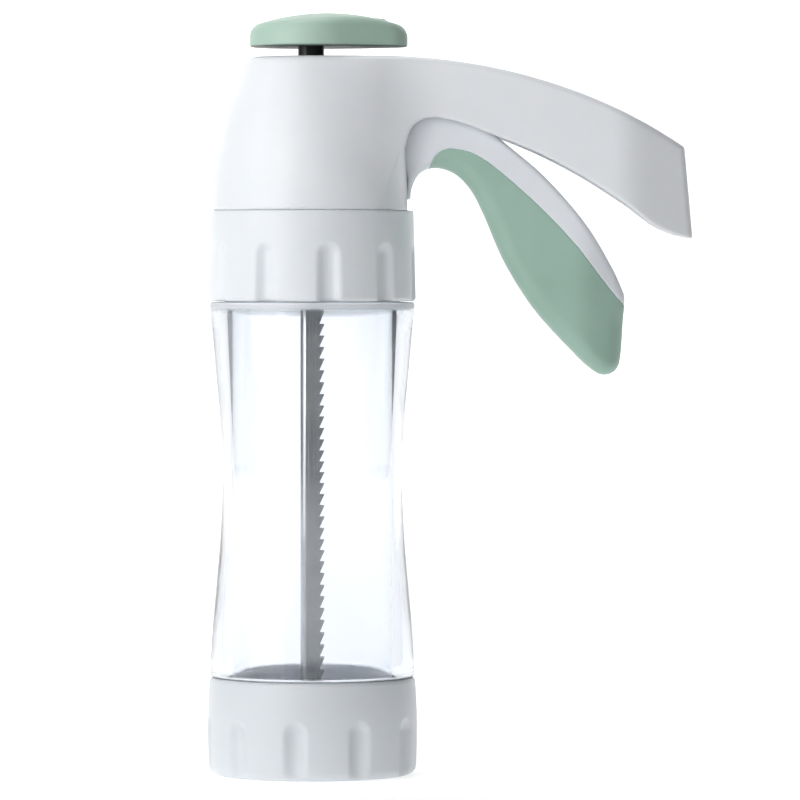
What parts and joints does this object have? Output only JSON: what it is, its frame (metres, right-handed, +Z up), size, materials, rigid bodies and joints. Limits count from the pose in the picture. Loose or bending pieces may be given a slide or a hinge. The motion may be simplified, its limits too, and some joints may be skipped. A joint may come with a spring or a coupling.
{
  "type": "cookie press",
  "caption": "Hand cookie press: clear barrel between grooved rings, toothed plunger rod with pointer knob, arched handle and squeeze trigger with soft grip.",
  "frame": {"origin": "centre of the dough mouth in the plane of the bottom cap's rim, on the barrel's axis", "axes": "+Z up along the barrel towards the knob, +X towards the handle and the trigger, +Y across"},
  "size_m": [0.1405, 0.0608, 0.2206],
  "materials": {
    "white_shell": "satin",
    "white_ring": "satin",
    "white_lever": "satin",
    "inner_frame": "matt moulded",
    "clear_barrel": "polished clear acrylic",
    "disc_white": "satin",
    "sage_grip": "soft touch",
    "sage_knob": "satin",
    "stem_dark": "matt nylon",
    "rod_steel": "brushed stainless",
    "pin_steel": "turned",
    "spring_steel": "drawn wire",
    "pawl_steel": "stamped and tumbled",
    "bush_acetal": "machined acetal",
    "silicone": "translucent silicone",
    "piston_white": "matt moulded"
  },
  "bodies": {
    "head": {"head_housing": "white_shell", "head_base": "inner_frame", "barrel_gasket": "silicone", "housing_screws": "pin_steel", "rod_bush": "bush_acetal", "trigger_pin": "pin_steel", "trigger_spring": "spring_steel", "hold_pawl_pin": "pin_steel", "hold_pawl_spring": "spring_steel"},
    "collar": {"upper_collar": "white_ring"},
    "barrel": {"barrel": "clear_barrel"},
    "disc": {"die_disc": "disc_white"},
    "cap": {"bottom_cap": "white_ring"},
    "piston": {"piston": "piston_white", "piston_seal": "silicone"},
    "rod": {"plunger_rod": "rod_steel", "rod_end_stub": "pin_steel", "piston_screw": "pin_steel", "piston_washer": "pin_steel", "knob_stem": "stem_dark", "stem_pin": "pin_steel", "knob": "sage_knob"},
    "trigger": {"trigger_lever": "white_lever", "trigger_grip": "sage_grip", "drive_pawl_pin": "pin_steel", "drive_pawl_spring": "spring_steel"},
    "drive_pawl": {"drive_pawl": "pawl_steel"},
    "hold_pawl": {"hold_pawl": "pawl_steel"}
  },
  "joints": [
    {"name": "collar_turn", "type": "hinge", "parent": "head", "child": "collar", "pos_m": [0, 0, 0.15], "axis": [0, 0, 1], "range_deg": [0, 90]},
    {"name": "barrel_travel", "type": "slide", "parent": "head", "child": "barrel", "axis": [0, 0, -1], "range_m": [0, 0.003]},
    {"name": "cap_travel", "type": "slide", "parent": "barrel", "child": "disc", "axis": [0, 0, -1], "range_m": [0, 0.003]},
    {"name": "cap_turn", "type": "hinge", "parent": "disc", "child": "cap", "pos_m": [0, 0, 0.014], "axis": [0, 0, -1], "range_deg": [0, 90]},
    {"name": "plunger_slide", "type": "slide", "parent": "head", "child": "piston", "axis": [0, 0, 1], "range_m": [0, 0.1258]},
    {"name": "plunger_turn", "type": "hinge", "parent": "piston", "child": "rod", "pos_m": [0, 0, 0.2], "axis": [0, 0, 1], "range_deg": [0, 90]},
    {"name": "trigger_squeeze", "type": "hinge", "parent": "head", "child": "trigger", "pos_m": [0.024, 0, 0.1865], "axis": [0, -1, 0], "range_deg": [0, 17.7], "stiffness_Nm_per_rad": 0.4, "springref_deg": -14.32, "deforming": ["trigger_spring"]},
    {"name": "drive_pawl_swing", "type": "hinge", "parent": "trigger", "child": "drive_pawl", "pos_m": [0.0086, 0, 0.1805], "axis": [0, -1, 0], "range_deg": [0, 12.6], "stiffness_Nm_per_rad": 0.004, "springref_deg": -17.19, "deforming": ["drive_pawl_spring"]},
    {"name": "hold_pawl_swing", "type": "hinge", "parent": "head", "child": "hold_pawl", "pos_m": [0.0086, 0, 0.1601], "axis": [0, -1, 0], "range_deg": [0, 12.6], "stiffness_Nm_per_rad": 0.004, "springref_deg": -17.19, "deforming": ["hold_pawl_spring"]}
  ],
  "couplings": [
    {"joint": "collar_turn", "follows": "barrel_travel", "rad_per_m": 523.59},
    {"joint": "cap_turn", "follows": "cap_travel", "rad_per_m": 523.59}
  ]
}
